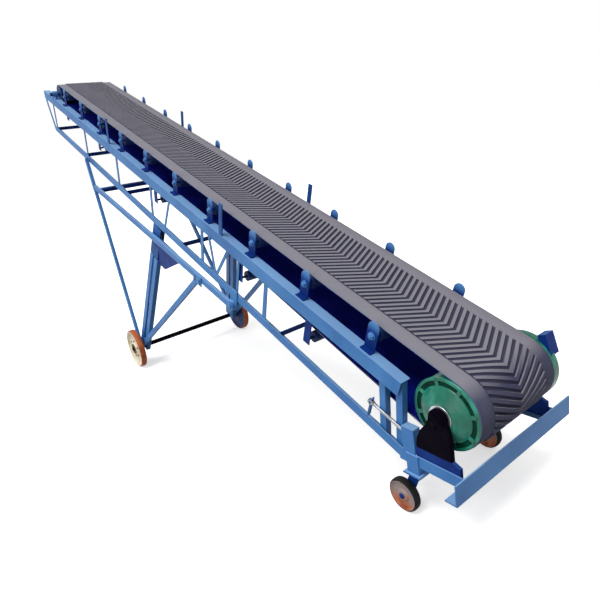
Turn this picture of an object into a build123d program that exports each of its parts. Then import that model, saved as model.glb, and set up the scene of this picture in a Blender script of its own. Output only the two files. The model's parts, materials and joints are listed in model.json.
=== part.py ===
from build123d import *
import math
import os

# Mobile belt conveyor for grain: a lattice truss with a chevron belt, standing on
# two swivel casters at its low tail and on a lifting wheel frame nearer its head.
# Millimetres. +X runs from tail to head, +Y is the left side, +Z is up, ground at Z = 0.
# Truss places are given as (u, w): u along the belt from the tail drum, w square to it,
# with w = 0 at the tips of the belt ribs on the carrying run.

os.makedirs("parts", exist_ok=True)

# belt and drums
incline = 22.8
belt_w = 650
belt_t = 16
rib_h = 8
rib_w = 32
rib_pitch = 64
rib_margin = 100
rib_half = belt_w / 2 - rib_margin
rib_sweep = 112
belt_tail_h = 875
tail_r = 204
head_r = 115
head_u = 6167
drum_over = 3
drum_len = belt_w + 2 * drum_over
cap_r = 198
cap_t = 56
box_x1 = -70
box_z1 = 770
box_x2 = -38
box_z2 = 888
box_w = 46
box_d = 78
shaft_r = 25
roller_over = 13
roller_len = belt_w + 2 * roller_over
bracket_clear = 30
bracket_y = roller_len / 2 + bracket_clear

# truss, as wide as the idler brackets or the motor drum's carriers need
bracket_seat = 48
carrier_room = 32
chord_y = max(bracket_y + bracket_seat, drum_len / 2 + cap_t + carrier_room)
chord_w = 71
chord_h = 91
chord_top = -155
chord_t = 7
chord_u0 = 240
chord_past = 393
chord_u1 = head_u + chord_past
low_h = 62
low_w = 63
low_bottom = -596
low_t = 6
low_u0 = 84
low_short = 260
low_u1 = chord_u1 - low_short
bar_t = 6
bar_w = 40
head_bay = 200
tie_marks = (1278, 2720, 3963, 5187)
tie_last = 15
tie_u = [u for u in tie_marks if u < low_u1 - head_bay] + [low_u1 - tie_last]
post_marks = (1452, 2338, 3297, 4115, 5067)
post_last = 60
post_u = [u for u in post_marks if u < low_u1 - head_bay] + [low_u1 - post_last]
tail_posts_at = (((316, 798), (358, 425)), ((437, 800), (470, 495)))
diag_u = ((1937, 2132), (2237, 2116), (2909, 3051), (1795, 1812))

# idlers
idler_u0 = 519
idler_pitch = 584
idler_head_gap = 250
idler_n = int((head_u - idler_head_gap - idler_u0) // idler_pitch) + 1
roller_r = 44
bracket_top = 31
bracket_l = 80
return_marks = (1000, 1789, 3220, 4629, 5700)
return_head_gap = 300
return_u = [u for u in return_marks if u < head_u - return_head_gap]
return_r = 38
guard_u = (2045, 4270)
guard_top = 92

# tail frame
front_x = -98
front_over = 107
front_half = chord_y + front_over
front_h = 116
front_z = 348
front_leg = 70
front_t = 8
base_z = 356
base_h = 66
base_x1 = 345
carrier_z = 480
carrier_l = 150

# take-up
screw_r = 9
screw_in = 10
screw_y = chord_y - screw_in
screw_w = -431
screw_u0 = 130
screw_u1 = 415
block_x = 274
block_l = 82
block_h = 146

# wheel frame, splayed from the chords out to the wheels
pivot_u = 1832
pivot_w = -646
pivot_r = 16
frame_clear = 10
frame_y = chord_y + frame_clear
frame_t = 30
axle_x = 4045
wheel_r = 212
wheel_w = 60
axle_r = 24
strut_splay = 176
strut_foot_y = frame_y + strut_splay
wheel_out = 58
wheel_y = strut_foot_y + wheel_out
strut_top_u = 5040
strut_top_w = -560
rail_end_u = 4760
rail_end_w = -800
rail_splay = 40
rail_end_y = frame_y + rail_splay
rail_h = 52
strut_h = 48
post_in = 24
post_head_y = chord_y - post_in
post_splay = 164
post_foot_y = post_head_y + post_splay
post_d = 46
post_gap = 36
post_bar = 60
post_top_w = -960
head_top_w = -612
head_low_w = -945
head_wide = 152
head_bar = 640
lift_r = 40
roller_shift = 5.7
roller_y = post_head_y + roller_shift
lift_u = 3195
brace_u = 2330
brace_h = 46

# casters
caster_x = 252
caster_in = 22
caster_y = chord_y - caster_in
caster_r = 100
caster_w = 46
caster_trail = 110
caster_top = 298

slope = math.radians(incline)


def tr(u, w):
    """World (X, Z) of a truss place."""
    x = u * math.cos(slope) - w * math.sin(slope)
    z = u * math.sin(slope) + w * math.cos(slope) + belt_tail_h
    return (x + x_shift, z)


def gap(p, q):
    return math.hypot(q[0] - p[0], q[1] - p[1])


def lie(p, q, y):
    """Place of a bar's middle, its local X along the line from p to q in the XZ plane."""
    turn = -math.degrees(math.atan2(q[1] - p[1], q[0] - p[0]))
    return Location(((p[0] + q[0]) / 2, y, (p[1] + q[1]) / 2), (0, turn, 0))


def at(u, y, w):
    """Place in the truss, local X along the belt."""
    x, z = tr(u, w)
    return Location((x, y, z), (0, -incline, 0))


def spot(u, y, w):
    """World place of a truss place."""
    x, z = tr(u, w)
    return (x, y, z)


def beam(p, q):
    """Place of a bar's middle, its local X along the line from p to q, its local Y near the cross axis."""
    run = Vector(*q) - Vector(*p)
    mid = (Vector(*q) + Vector(*p)) / 2
    return Plane(origin=mid, x_dir=run, z_dir=run.cross(Vector(0, 1, 0))).location


def reach(p, q):
    return (Vector(*q) - Vector(*p)).length


# the origin lies under the middle of the overall length
x_shift = 0
x_high = tr(chord_u1, chord_top - chord_h)[0]
x_shift = -(front_x + x_high) / 2

tail_axis = tr(0, -tail_r)
head_axis = tr(head_u, -head_r)
axle_at = (axle_x + x_shift, wheel_r)
pivot_at = tr(pivot_u, pivot_w)
side_plane = Plane(origin=(x_shift, 0, belt_tail_h), x_dir=(math.cos(slope), 0, math.sin(slope)), z_dir=(0, -1, 0))
ground_plane = Plane(origin=(x_shift, 0, 0), x_dir=(1, 0, 0), z_dir=(0, -1, 0))


def keep(piece, name):
    piece.part.label = name
    export_step(piece.part, "parts/" + name + ".step")


# truss: two top chords, each an angle with its outer leg down
with BuildPart() as top_chords:
    for side in (-1, 1):
        mid = (chord_u0 + chord_u1) / 2
        with Locations(at(mid, side * (chord_y - chord_w / 2), chord_top - chord_t / 2)):
            Box(chord_u1 - chord_u0, chord_w, chord_t)
        with Locations(at(mid, side * (chord_y - chord_t / 2), chord_top - chord_h / 2)):
            Box(chord_u1 - chord_u0, chord_t, chord_h)
keep(top_chords, "top_chords")

# lower chords run on as level base rails under the tail
with BuildPart() as lower_chords:
    for side in (-1, 1):
        mid = (low_u0 + low_u1) / 2
        span = low_u1 - low_u0
        base_mid = x_shift + (front_x + front_t + base_x1) / 2
        base_len = base_x1 - front_x - front_t
        with Locations(at(mid, side * (chord_y - low_t / 2), low_bottom + low_h / 2)):
            Box(span, low_t, low_h)
        with Locations(at(mid, side * (chord_y - low_w / 2), low_bottom + low_t / 2)):
            Box(span, low_w, low_t)
        with Locations((base_mid, side * (chord_y - low_t / 2), base_z + base_h / 2)):
            Box(base_len, low_t, base_h)
        with Locations((base_mid, side * (chord_y - low_w / 2), base_z + low_t / 2)):
            Box(base_len, low_w, low_t)
keep(lower_chords, "lower_chords")

# upright lattice bars, seated inside the outer legs
inner_y = chord_y - chord_t - bar_t / 2
with BuildPart() as truss_posts:
    for side in (-1, 1):
        for u in post_u:
            foot = low_bottom + low_t
            head = chord_top - chord_t
            with Locations(at(u, side * inner_y, (foot + head) / 2)):
                Box(bar_w, bar_t, head - foot)
keep(truss_posts, "truss_posts")

with BuildPart() as truss_diagonals:
    for side in (-1, 1):
        for u_top, u_low in diag_u:
            p = tr(u_top, chord_top - chord_h + 20)
            q = tr(u_low, low_bottom + 25)
            with Locations(lie(p, q, side * inner_y)):
                Box(gap(p, q), bar_t, bar_w * 0.7)
keep(truss_diagonals, "truss_diagonals")

# cross ties on the lower chords' flat legs
tie_half = chord_y - low_t
with BuildPart() as cross_ties:
    for u in tie_u:
        with Locations(at(u, 0, low_bottom + low_t + bar_w / 2)):
            Box(bar_t, 2 * tie_half, bar_w)
keep(cross_ties, "cross_ties")

# head: lower chord ends turn up to the top chords, and a tie closes the end
with BuildPart() as head_stays:
    for side in (-1, 1):
        p = tr(low_u1, low_bottom + low_h / 2)
        q = tr(chord_u1 - 50, chord_top - chord_h - 14)
        with Locations(lie(p, q, side * (chord_y - low_t / 2))):
            Box(gap(p, q) + 24, low_t, 52)
        with Locations(at(low_u1 - 500, side * chord_y, low_bottom + low_h / 2)):
            Box(1000, chord_t * 3, low_h, mode=Mode.SUBTRACT)
        with Locations(at(chord_u1 - 500, side * chord_y, chord_top - chord_h / 2)):
            Box(1000, chord_t * 3, chord_h, mode=Mode.SUBTRACT)
keep(head_stays, "head_stays")

with BuildPart() as head_tie:
    with Locations(at(chord_u1 - 40, 0, chord_top - chord_t - 25)):
        Box(6, 2 * (chord_y - chord_t), 50)
keep(head_tie, "head_tie")

# tail posts stand nearly upright between the chords
with BuildPart() as tail_posts:
    for side in (-1, 1):
        y0 = side * (chord_y - 40)
        for p, q in tail_posts_at:
            p = (p[0] + x_shift, p[1])
            q = (q[0] + x_shift, q[1])
            with Locations(lie(p, q, y0)):
                Box(gap(p, q) + 240, 40, 44)
        with Locations(at(300, y0, chord_top - chord_t + 200)):
            Box(2000, 100, 400, mode=Mode.SUBTRACT)
        with Locations(at(300, y0, low_bottom + low_t - 200)):
            Box(2000, 100, 400, mode=Mode.SUBTRACT)
keep(tail_posts, "tail_posts")

# front bar across the tail, an angle with its flat leg below
with BuildPart() as front_bar:
    with Locations((x_shift + front_x + front_t / 2, 0, front_z + front_h / 2)):
        Box(front_t, 2 * front_half, front_h)
    with Locations((x_shift + front_x + front_leg / 2, 0, front_z + front_t / 2)):
        Box(front_leg, 2 * front_half, front_t)
keep(front_bar, "front_bar")

# belt: one closed loop, as its carrying run, return run and the wraps round both drums
loop_tilt = 2 * math.atan2(tail_r - head_r, head_u)
low_normal = (math.sin(loop_tilt), -math.cos(loop_tilt))
belt_plane = side_plane.offset(-belt_w / 2)
bed_t = belt_t - rib_h


def round_drum(u, r, lift=0):
    """Place on a drum's underside where the return run leaves it."""
    return (u + (r + lift) * low_normal[0], -r + (r + lift) * low_normal[1])


def rib(s):
    """Chevron outline with its point at s, arms swept along the belt."""
    half = rib_w / 2
    return (
        (s - half, 0),
        (s + rib_sweep - half, rib_half),
        (s + rib_sweep + half, rib_half),
        (s + half, 0),
        (s + rib_sweep + half, -rib_half),
        (s + rib_sweep - half, -rib_half),
    )


def rib_field(length, first):
    """Chevrons at each pitch over a flat run, cut off at its ends."""
    s = first - rib_pitch * math.ceil((first + rib_sweep + rib_w) / rib_pitch)
    while s - rib_w / 2 < length:
        if s + rib_sweep + rib_w / 2 > 0:
            Polygon(*rib(s), align=None)
        s += rib_pitch
    with Locations((length / 2, 0)):
        Rectangle(length, belt_w, mode=Mode.INTERSECT)


def wrap_band(u, r, way, outer, inner):
    """Section of a belt layer round a drum, open towards the runs."""
    with Locations((u, -r)):
        Circle(outer)
        Circle(inner, mode=Mode.SUBTRACT)
    far = 2 * r
    Polygon(
        (u, -r),
        (u, -r + far),
        (u + way * far, -r + far),
        (u + way * far, -r - far),
        (u + far * low_normal[0], -r + far * low_normal[1]),
        align=None,
        mode=Mode.SUBTRACT,
    )


head_arc = (math.pi - loop_tilt) * (head_r - rib_h)
tail_arc = (math.pi + loop_tilt) * (tail_r - rib_h)

with BuildPart() as belt_carry_run:
    with BuildSketch(belt_plane):
        with Locations((head_u / 2, -rib_h - bed_t / 2)):
            Rectangle(head_u, bed_t)
    extrude(amount=belt_w)
    with BuildSketch(Plane(at(0, 0, -rib_h))):
        rib_field(head_u, 0)
    extrude(amount=rib_h)
keep(belt_carry_run, "belt_carry_run")

with BuildPart() as belt_return_run:
    with BuildSketch(belt_plane):
        with BuildLine():
            Polyline(
                round_drum(0, tail_r, -rib_h),
                round_drum(head_u, head_r, -rib_h),
                round_drum(head_u, head_r, -belt_t),
                round_drum(0, tail_r, -belt_t),
                close=True,
            )
        make_face()
    extrude(amount=belt_w)
    u, w = round_drum(head_u, head_r, -rib_h)
    back = Plane(at(u, 0, w)).rotated((0, 180 - math.degrees(loop_tilt), 0))
    with BuildSketch(back):
        rib_field(head_u, -head_u - head_arc)
    extrude(amount=rib_h)
keep(belt_return_run, "belt_return_run")

for name, u, r, way, first, arc in (
    ("head", head_u, head_r, -1, -head_u, head_arc),
    ("tail", 0, tail_r, 1, -2 * head_u - head_arc, tail_arc),
):
    start = math.pi / 2 if way < 0 else -math.pi / 2 + loop_tilt
    with BuildPart() as wrap:
        with BuildSketch(belt_plane):
            wrap_band(u, r, way, r - rib_h, r - belt_t)
        extrude(amount=belt_w)
        with BuildPart(mode=Mode.PRIVATE) as ribs:
            s = first - rib_pitch * math.ceil((first + rib_sweep + rib_w) / rib_pitch)
            while s - rib_w / 2 < arc:
                mid = min(max(s + rib_sweep / 2, 0), arc)
                turn = start - mid / (r - rib_h)
                seat_u = u + (r - rib_h) * math.cos(turn)
                seat_w = -r + (r - rib_h) * math.sin(turn)
                face = Plane(at(seat_u, 0, seat_w)).rotated((0, 90 - math.degrees(turn), 0))
                with BuildSketch(face):
                    Polygon(*rib(s - mid), align=None)
                extrude(amount=2 * rib_h)
                with BuildSketch(face):
                    Polygon(*rib(s - mid), align=None)
                extrude(amount=-r / 4)
                s += rib_pitch
            with BuildSketch(belt_plane):
                wrap_band(u, r, way, r, r - rib_h)
            extrude(amount=belt_w, mode=Mode.INTERSECT)
        add(ribs.part)
    keep(wrap, "belt_" + name + "_wrap")

# tail motor drum: shell, and turned end caps
tail_mid = Plane(origin=(tail_axis[0], 0, tail_axis[1]), x_dir=(1, 0, 0), z_dir=(0, 1, 0))
with BuildPart() as tail_drum:
    with BuildSketch(tail_mid.offset(-drum_len / 2)):
        Circle(tail_r - belt_t)
    extrude(amount=drum_len)
keep(tail_drum, "tail_drum")

# turned covers: rim, ring groove, domed cone and hub ring, as distance along the axis and radius
drum_end = drum_len / 2
cap_face = drum_end + cap_t
cap_line = (
    (0, 0),
    (0, cap_r - 4),
    (10, cap_r - 4),
    (14, cap_r - 8),
    (14, cap_r - 20),
    (6, cap_r - 24),
    (6, cap_r - 44),
    (14, cap_r - 48),
    (22, cap_r - 64),
    (cap_t - 8, 90),
    (cap_t, 82),
    (cap_t, 60),
    (cap_t - 6, 56),
    (cap_t - 6, 0),
)
with BuildPart() as drum_caps:
    for side in (-1, 1):
        spin = Plane(origin=(tail_axis[0], side * drum_end, tail_axis[1]), x_dir=(0, side, 0), z_dir=(side, 0, 0))
        with BuildSketch(spin):
            with BuildLine():
                Polyline(*cap_line, close=True)
            make_face()
        revolve(axis=Axis((tail_axis[0], 0, tail_axis[1]), (0, 1, 0)))
keep(drum_caps, "drum_caps")

# terminal box on the far cover's rim
with BuildPart() as terminal_box:
    lean = math.degrees(math.atan2(box_x2 - box_x1, box_z2 - box_z1))
    y_mid = -(drum_end + 14 + box_d / 2)
    with Locations(Location((x_shift + (box_x1 + box_x2) / 2, y_mid, (box_z1 + box_z2) / 2), (0, lean, 0))):
        Box(box_w, box_d, math.hypot(box_x2 - box_x1, box_z2 - box_z1))
keep(terminal_box, "terminal_box")

with BuildPart() as tail_shaft:
    for side in (-1, 1):
        face = Plane(origin=(tail_axis[0], side * (cap_face - 6), tail_axis[1]), x_dir=(1, 0, 0), z_dir=(0, side, 0))
        with BuildSketch(face):
            Circle(shaft_r + 12)
        extrude(amount=chord_y - cap_face + 6)
keep(tail_shaft, "tail_shaft")

# black bearing carriers of the tail drum, standing on the base rails
with BuildPart() as drum_carriers:
    for side in (-1, 1):
        y0 = cap_face + 2
        y1 = chord_y - 4
        axis_x = tail_axis[0] - x_shift
        with BuildSketch(ground_plane.offset(-side * y0)):
            with BuildLine():
                Polyline(
                    (axis_x - carrier_l / 2, carrier_z),
                    (axis_x - carrier_l / 2, tail_axis[1]),
                    (axis_x + carrier_l / 2, tail_axis[1]),
                    (axis_x + carrier_l * 0.86, carrier_z + 95),
                    (axis_x + carrier_l, carrier_z),
                    close=True,
                )
            make_face()
        extrude(amount=-side * (y1 - y0))
        face = Plane(origin=(tail_axis[0], side * y0, tail_axis[1]), x_dir=(1, 0, 0), z_dir=(0, side, 0))
        with BuildSketch(face):
            Circle(carrier_l / 2)
        extrude(amount=y1 - y0)
        with BuildSketch(face):
            Circle(shaft_r + 12)
        extrude(amount=y1 - y0, mode=Mode.SUBTRACT)
keep(drum_carriers, "drum_carriers")

# blue feet under the carriers, with a sloping front
foot_x0 = tail_axis[0] - x_shift - 118
foot_x1 = tail_axis[0] - x_shift + 150
with BuildPart() as carrier_feet:
    for side in (-1, 1):
        y_low = cap_face + 4 if side > 0 else -chord_y + low_t
        with BuildSketch(ground_plane.offset(-y_low)):
            with BuildLine():
                Polyline(
                    (foot_x0, base_z + low_t),
                    (foot_x1, base_z + low_t),
                    (foot_x1, carrier_z),
                    (foot_x1 - 225, carrier_z),
                    (foot_x0, carrier_z - 20),
                    close=True,
                )
            make_face()
        extrude(amount=-(chord_y - low_t - cap_face - 4))
keep(carrier_feet, "carrier_feet")

# take-up screws along the truss, from end plates on the chords into the slide blocks
with BuildPart() as takeup_screws:
    for side in (-1, 1):
        with BuildSketch(Plane(at(screw_u0, side * screw_y, screw_w)).rotated((0, 90, 0))):
            Circle(screw_r)
        extrude(amount=screw_u1 - screw_u0)
keep(takeup_screws, "takeup_screws")

with BuildPart() as takeup_blocks:
    for side in (-1, 1):
        with Locations((x_shift + block_x, side * (chord_y - 26), base_z + base_h + block_h / 2)):
            Box(block_l, 52, block_h)
        foot = low_bottom + low_h
        with Locations(at(screw_u1 - 20, side * (chord_y - 12), (foot + screw_w + 30) / 2)):
            Box(8, 24, screw_w + 30 - foot)
        with BuildSketch(Plane(at(screw_u0, side * screw_y, screw_w)).rotated((0, 90, 0))):
            Circle(screw_r)
        extrude(amount=screw_u1 - screw_u0, mode=Mode.SUBTRACT)
        with Locations(at(low_u0 + 200, side * chord_y, low_bottom + low_h / 2)):
            Box(400, 2 * low_w, low_h, mode=Mode.SUBTRACT)
keep(takeup_blocks, "takeup_blocks")

# head drum and its pillow bearings on the chords
head_mid = Plane(origin=(head_axis[0], 0, head_axis[1]), x_dir=(1, 0, 0), z_dir=(0, 1, 0))
with BuildPart() as head_drum:
    with BuildSketch(head_mid.offset(-drum_len / 2)):
        Circle(head_r - belt_t)
    extrude(amount=drum_len)
    with BuildSketch(head_mid.offset(-chord_y - 24)):
        Circle(shaft_r - 5)
    extrude(amount=2 * chord_y + 48)
keep(head_drum, "head_drum")

with BuildPart() as head_bearings:
    for side in (-1, 1):
        y_mid = side * (chord_y - chord_w / 2)
        rise = -head_r - chord_top
        with Locations(at(head_u, y_mid, chord_top + 9)):
            Box(170, 50, 18)
        with Locations(at(head_u, y_mid, chord_top + rise / 2)):
            Box(84, 50, rise)
        face = Plane(origin=(head_axis[0], y_mid - 25, head_axis[1]), x_dir=(1, 0, 0), z_dir=(0, 1, 0))
        with BuildSketch(face):
            Circle(38)
        extrude(amount=50)
        with BuildSketch(face):
            Circle(shaft_r - 5)
        extrude(amount=50, mode=Mode.SUBTRACT)
keep(head_bearings, "head_bearings")

# carrying idlers: one flat roller and shaft at each pitch
roller_w = -belt_t - roller_r - 0.4
with BuildPart() as carry_rollers:
    for k in range(idler_n):
        x, z = tr(idler_u0 + k * idler_pitch, roller_w)
        for r, length in ((roller_r, roller_len), (10, 2 * bracket_y - 6)):
            with BuildSketch(Plane(origin=(x, -length / 2, z), x_dir=(1, 0, 0), z_dir=(0, 1, 0))):
                Circle(r)
            extrude(amount=length)
keep(carry_rollers, "carry_rollers")

with BuildPart() as idler_brackets:
    for k in range(idler_n):
        for side in (-1, 1):
            u = idler_u0 + k * idler_pitch
            round_w = bracket_top - bracket_l / 2
            with Locations(at(u, side * bracket_y, (chord_top + round_w) / 2)):
                Box(bracket_l, 6, round_w - chord_top)
            x, z = tr(u, round_w)
            with BuildSketch(Plane(origin=(x, side * bracket_y - 3, z), x_dir=(1, 0, 0), z_dir=(0, 1, 0))):
                Circle(bracket_l / 2)
            extrude(amount=6)
            foot_in = bracket_y - 3
            foot_out = chord_y - 13
            with Locations(at(u, side * (foot_in + foot_out) / 2, chord_top + 4)):
                Box(bracket_l, foot_out - foot_in, 8)
keep(idler_brackets, "idler_brackets")

# return idlers hang below the top chords
def return_w(u):
    """Underside of the return run at u."""
    return -2 * tail_r + (2 * tail_r - 2 * head_r) * u / head_u


with BuildPart() as return_rollers:
    for u in return_u:
        x, z = tr(u, return_w(u) - return_r - 0.6)
        for r, length in ((return_r, roller_len), (9, 2 * (inner_y - bar_t / 2 - 12))):
            with BuildSketch(Plane(origin=(x, -length / 2, z), x_dir=(1, 0, 0), z_dir=(0, 1, 0))):
                Circle(r)
            extrude(amount=length)
keep(return_rollers, "return_rollers")

with BuildPart() as return_hangers:
    for u in return_u:
        for side in (-1, 1):
            foot = return_w(u) - return_r - 24
            head = chord_top - chord_t
            with Locations(at(u, side * (inner_y - bar_t / 2 - 9), (foot + head) / 2)):
                Box(60, 6, head - foot)
keep(return_hangers, "return_hangers")

# flat upright holders for side boards
with BuildPart() as guard_posts:
    for u in guard_u:
        for side in (-1, 1):
            with Locations(at(u, side * (chord_y - 8), (chord_top + guard_top) / 2)):
                Box(44, 8, guard_top - chord_top)
keep(guard_posts, "guard_posts")

# pivot plates on the lower chords, with fixed pins for the wheel frame
with BuildPart() as pivot_plates:
    for side in (-1, 1):
        y0 = side * chord_y
        with BuildSketch(Plane(origin=(pivot_at[0], y0, pivot_at[1]), x_dir=(1, 0, 0), z_dir=(0, side, 0))):
            Circle(46)
        extrude(amount=8)
        with Locations(at(pivot_u, y0 + side * 4, (pivot_w + low_bottom + low_h + 18) / 2)):
            Box(92, 8, low_bottom + low_h + 18 - pivot_w)
        with BuildSketch(Plane(origin=(pivot_at[0], y0, pivot_at[1]), x_dir=(1, 0, 0), z_dir=(0, side, 0))):
            Circle(pivot_r)
        extrude(amount=frame_y + frame_t + 10 - chord_y)
keep(pivot_plates, "pivot_plates")

# caster mounts: a plate over the rail's outer face, a box below it and the caster's top plate
with BuildPart() as caster_mounts:
    for side in (-1, 1):
        with Locations((x_shift + caster_x, side * (chord_y + 4), (base_z + base_h + caster_top) / 2)):
            Box(78, 8, base_z + base_h - caster_top)
        with Locations((x_shift + caster_x, side * caster_y, (base_z + caster_top) / 2)):
            Box(78, 2 * (chord_y - caster_y), base_z - caster_top)
        with Locations((x_shift + caster_x, side * caster_y, caster_top + 5)):
            Box(108, 88, 10)
        with Locations((x_shift + caster_x, side * caster_y, caster_top + 6)):
            Cylinder(14.5, 30, mode=Mode.SUBTRACT)
keep(caster_mounts, "caster_mounts")

# wheel frame: long struts, rails, braces, lift posts, gussets, axle and tie
frame_mid = frame_y + frame_t / 2


def axle_plane(y, side):
    return Plane(origin=(axle_at[0], y, axle_at[1]), x_dir=(1, 0, 0), z_dir=(0, side, 0))


def frame_lines(side):
    """Ends of one side's strut, rail, brace and lift post."""
    strut = ((axle_at[0], side * strut_foot_y, axle_at[1]), spot(strut_top_u, side * frame_mid, strut_top_w))
    rail = (spot(pivot_u, side * frame_mid, pivot_w), spot(rail_end_u, side * rail_end_y, rail_end_w))
    part = (brace_u - pivot_u) / (rail_end_u - pivot_u)
    joint = Vector(*rail[0]) + (Vector(*rail[1]) - Vector(*rail[0])) * part
    brace = (strut[0], tuple(joint))
    post = ((axle_at[0], side * post_foot_y, axle_at[1]), spot(lift_u, side * post_head_y, low_bottom))
    return strut, rail, brace, post


with BuildPart() as long_struts:
    for side in (-1, 1):
        strut, rail, brace, post = frame_lines(side)
        with Locations(beam(*strut)):
            Box(reach(*strut), frame_t, strut_h)
        with BuildSketch(axle_plane(side * (strut_foot_y - frame_t / 2), side)):
            Circle(48)
        extrude(amount=frame_t)
        with BuildSketch(axle_plane(side * (strut_foot_y - frame_t), side)):
            Circle(axle_r)
        extrude(amount=2 * frame_t, mode=Mode.SUBTRACT)
keep(long_struts, "long_struts")

with BuildPart() as frame_rails:
    for side in (-1, 1):
        strut, rail, brace, post = frame_lines(side)
        with Locations(beam(*rail)):
            Box(reach(*rail), frame_t, rail_h)
        eye = Plane(origin=(pivot_at[0], side * (frame_y - 0.6), pivot_at[1]), x_dir=(1, 0, 0), z_dir=(0, side, 0))
        with BuildSketch(eye):
            Circle(38)
        extrude(amount=frame_t)
        with BuildSketch(eye.offset(-10)):
            Circle(pivot_r + 0.4)
        extrude(amount=frame_t + 20, mode=Mode.SUBTRACT)
        with Locations(beam(*strut)):
            Box(reach(*strut), frame_t * 3, strut_h, mode=Mode.SUBTRACT)
keep(frame_rails, "frame_rails")

with BuildPart() as frame_braces:
    for side in (-1, 1):
        strut, rail, brace, post = frame_lines(side)
        with Locations(beam(*brace)):
            Box(reach(*brace), frame_t, brace_h)
        with Locations(beam(*strut)):
            Box(reach(*strut), frame_t * 3, strut_h, mode=Mode.SUBTRACT)
        with Locations(beam(*rail)):
            Box(reach(*rail), frame_t * 3, rail_h, mode=Mode.SUBTRACT)
        with BuildSketch(axle_plane(side * (strut_foot_y - 2 * frame_t), side)):
            Circle(48)
        extrude(amount=4 * frame_t, mode=Mode.SUBTRACT)
keep(frame_braces, "frame_braces")

# plates over the joints of braces and rails
with BuildPart() as joint_plates:
    for side in (-1, 1):
        strut, rail, brace, post = frame_lines(side)
        with Locations(beam(rail[0], brace[1])):
            with Locations((reach(rail[0], brace[1]) / 2, side * (frame_t / 2 + 4), -14)):
                Box(130, 8, 84)
        with Locations(beam(*brace)):
            Box(reach(*brace), frame_t, brace_h, mode=Mode.SUBTRACT)
keep(joint_plates, "joint_plates")

# lift posts: two bars a side, standing on the axle, nearly square to the truss
with BuildPart() as lift_posts:
    for side in (-1, 1):
        post = frame_lines(side)[3]
        full = reach(*post)
        post_len = full - (low_bottom - post_top_w)
        with Locations(beam(*post)):
            for edge in (-1, 1):
                with Locations((post_len / 2 - full / 2, 0, edge * (post_gap + post_bar) / 2)):
                    Box(post_len, post_d, post_bar)
            with Locations((70 - full / 2, 0, 0)):
                Box(90, post_d, post_gap)
        with BuildSketch(axle_plane(side * (post_foot_y - 2 * post_d), side)):
            Circle(axle_r)
        extrude(amount=4 * post_d, mode=Mode.SUBTRACT)
keep(lift_posts, "lift_posts")

# corner gussets weld the posts to the rails
gusset_y = post_head_y + post_d / 2
with BuildPart() as frame_gussets:
    for side in (-1, 1):
        strut, rail, brace, post = frame_lines(side)
        full = reach(*post)
        face = Plane(origin=(0, side * gusset_y, 0), x_dir=(1, 0, 0), z_dir=(0, -1, 0))
        a = tr(lift_u + 40, -700)
        b = tr(lift_u - 420, -690)
        c = tr(lift_u - 470, -745)
        d = tr(lift_u - 150, -985)
        e = tr(lift_u + 40, -985)
        with BuildSketch(face):
            with BuildLine():
                Polyline(a, b, c, d, e, close=True)
            make_face()
        extrude(amount=-side * 60)
        with Locations(beam(*post)):
            Box(full + 400, post_d + 1.2, 2 * post_bar + post_gap, mode=Mode.SUBTRACT)
        with Locations(beam(*rail)):
            with Locations((0, side * 100, 0)):
                Box(reach(*rail), 200 + frame_t, 600, mode=Mode.SUBTRACT)
keep(frame_gussets, "frame_gussets")

with BuildPart() as frame_tie:
    with Locations(at(rail_end_u - 110, 0, rail_end_w + 4)):
        Box(40, 2 * (rail_end_y - frame_t / 2 - 1.2), 40)
keep(frame_tie, "frame_tie")

axle_half = wheel_y + wheel_w / 2 + 14
with BuildPart() as wheel_axle:
    with BuildSketch(axle_plane(-axle_half, 1)):
        Circle(axle_r)
    extrude(amount=2 * axle_half)
keep(wheel_axle, "wheel_axle")

# lifting heads: forked cheeks on a bar that slides in the post, with a roller between
roller_at = tr(lift_u, low_bottom - 0.5 - lift_r)
for name, side in (("left", 1), ("right", -1)):
    post = frame_lines(side)[3]
    full = reach(*post)
    cheek_top = full / 2 + head_top_w - low_bottom
    cheek_low = full / 2 + head_low_w - low_bottom
    cheek_mid = (cheek_top + cheek_low) / 2
    with BuildPart() as head:
        with Locations(beam(*post)):
            for edge in (-1, 1):
                with Locations((cheek_mid, edge * (post_d / 2 - 4), 0)):
                    Box(cheek_top - cheek_low, 8, head_wide)
            with Locations((cheek_low + 45, 0, 0)):
                Box(90, post_d, head_wide)
            with Locations((cheek_low + 20 - head_bar / 2, 0, 0)):
                Box(head_bar, post_d - 12, post_gap - 1)
        pin = Plane(origin=(roller_at[0], side * roller_y - 22, roller_at[1]), x_dir=(1, 0, 0), z_dir=(0, 1, 0))
        with BuildSketch(pin):
            Circle(10)
        extrude(amount=44)
    keep(head, "lift_head_" + name)
    with BuildPart() as roller:
        with BuildSketch(pin.offset(12)):
            Circle(lift_r)
            Circle(10, mode=Mode.SUBTRACT)
        extrude(amount=20)
    keep(roller, "lift_roller_" + name)

# road wheels
for name, side in (("left", 1), ("right", -1)):
    hub = Plane(origin=(axle_at[0], side * wheel_y, axle_at[1]), x_dir=(1, 0, 0), z_dir=(0, side, 0))
    with BuildPart() as tyre:
        with BuildSketch(hub.offset(-wheel_w / 2)):
            Circle(wheel_r)
            Circle(wheel_r * 0.86, mode=Mode.SUBTRACT)
        extrude(amount=wheel_w)
    keep(tyre, "road_tyre_" + name)
    with BuildPart() as rim:
        with BuildSketch(hub.offset(-wheel_w / 2)):
            Circle(wheel_r * 0.86)
            Circle(axle_r + 0.4, mode=Mode.SUBTRACT)
        extrude(amount=wheel_w)
        with BuildSketch(hub.offset(wheel_w / 2)):
            Circle(wheel_r * 0.74)
            Circle(wheel_r * 0.3, mode=Mode.SUBTRACT)
        extrude(amount=-12, mode=Mode.SUBTRACT)
    keep(rim, "road_rim_" + name)

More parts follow.
